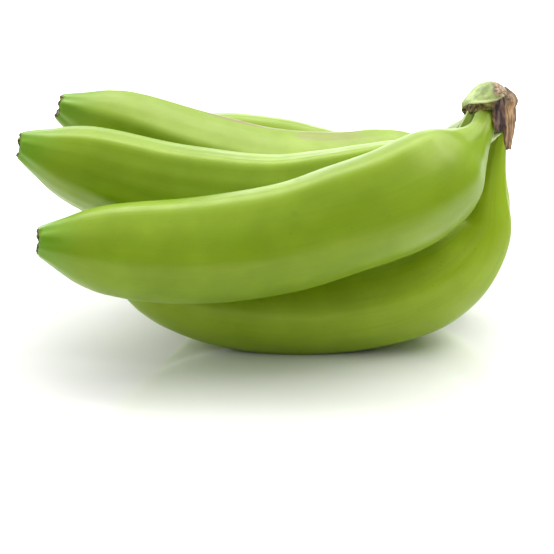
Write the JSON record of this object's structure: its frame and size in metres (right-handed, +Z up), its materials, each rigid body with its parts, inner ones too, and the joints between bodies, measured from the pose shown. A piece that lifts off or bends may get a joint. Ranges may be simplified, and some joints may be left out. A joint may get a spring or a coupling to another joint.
{
  "type": "hand of unripe bananas",
  "caption": "Hand of green unripe bananas, curved and gently five-edged, grown together at a crown with a torn dry skin, lying on its lower fruit.",
  "frame": {"origin": "middle of the hand's footprint, on the surface that it lies on", "axes": "+X along the bananas from their tips to the crown, +Y from the front banana to the back banana, +Z up"},
  "size_m": [0.1897, 0.1513, 0.1005],
  "materials": {
    "peel_mid": "satin",
    "peel_light": "satin",
    "peel_deep": "satin",
    "dry_tip": "matt",
    "crown_green": "matt",
    "dry_skin": "matt"
  },
  "bodies": {
    "root": {"banana_front": "peel_mid", "banana_middle": "peel_mid", "banana_upper": "peel_light", "banana_back": "peel_light", "banana_lower": "peel_deep", "banana_rear": "peel_deep", "blossom_end_front": "dry_tip", "blossom_end_middle": "dry_tip", "blossom_end_upper": "dry_tip", "blossom_end_back": "dry_tip", "blossom_end_lower": "dry_tip", "blossom_end_rear": "dry_tip", "crown": "crown_green", "crown_dry_skin": "dry_skin"}
  },
  "joints": []
}
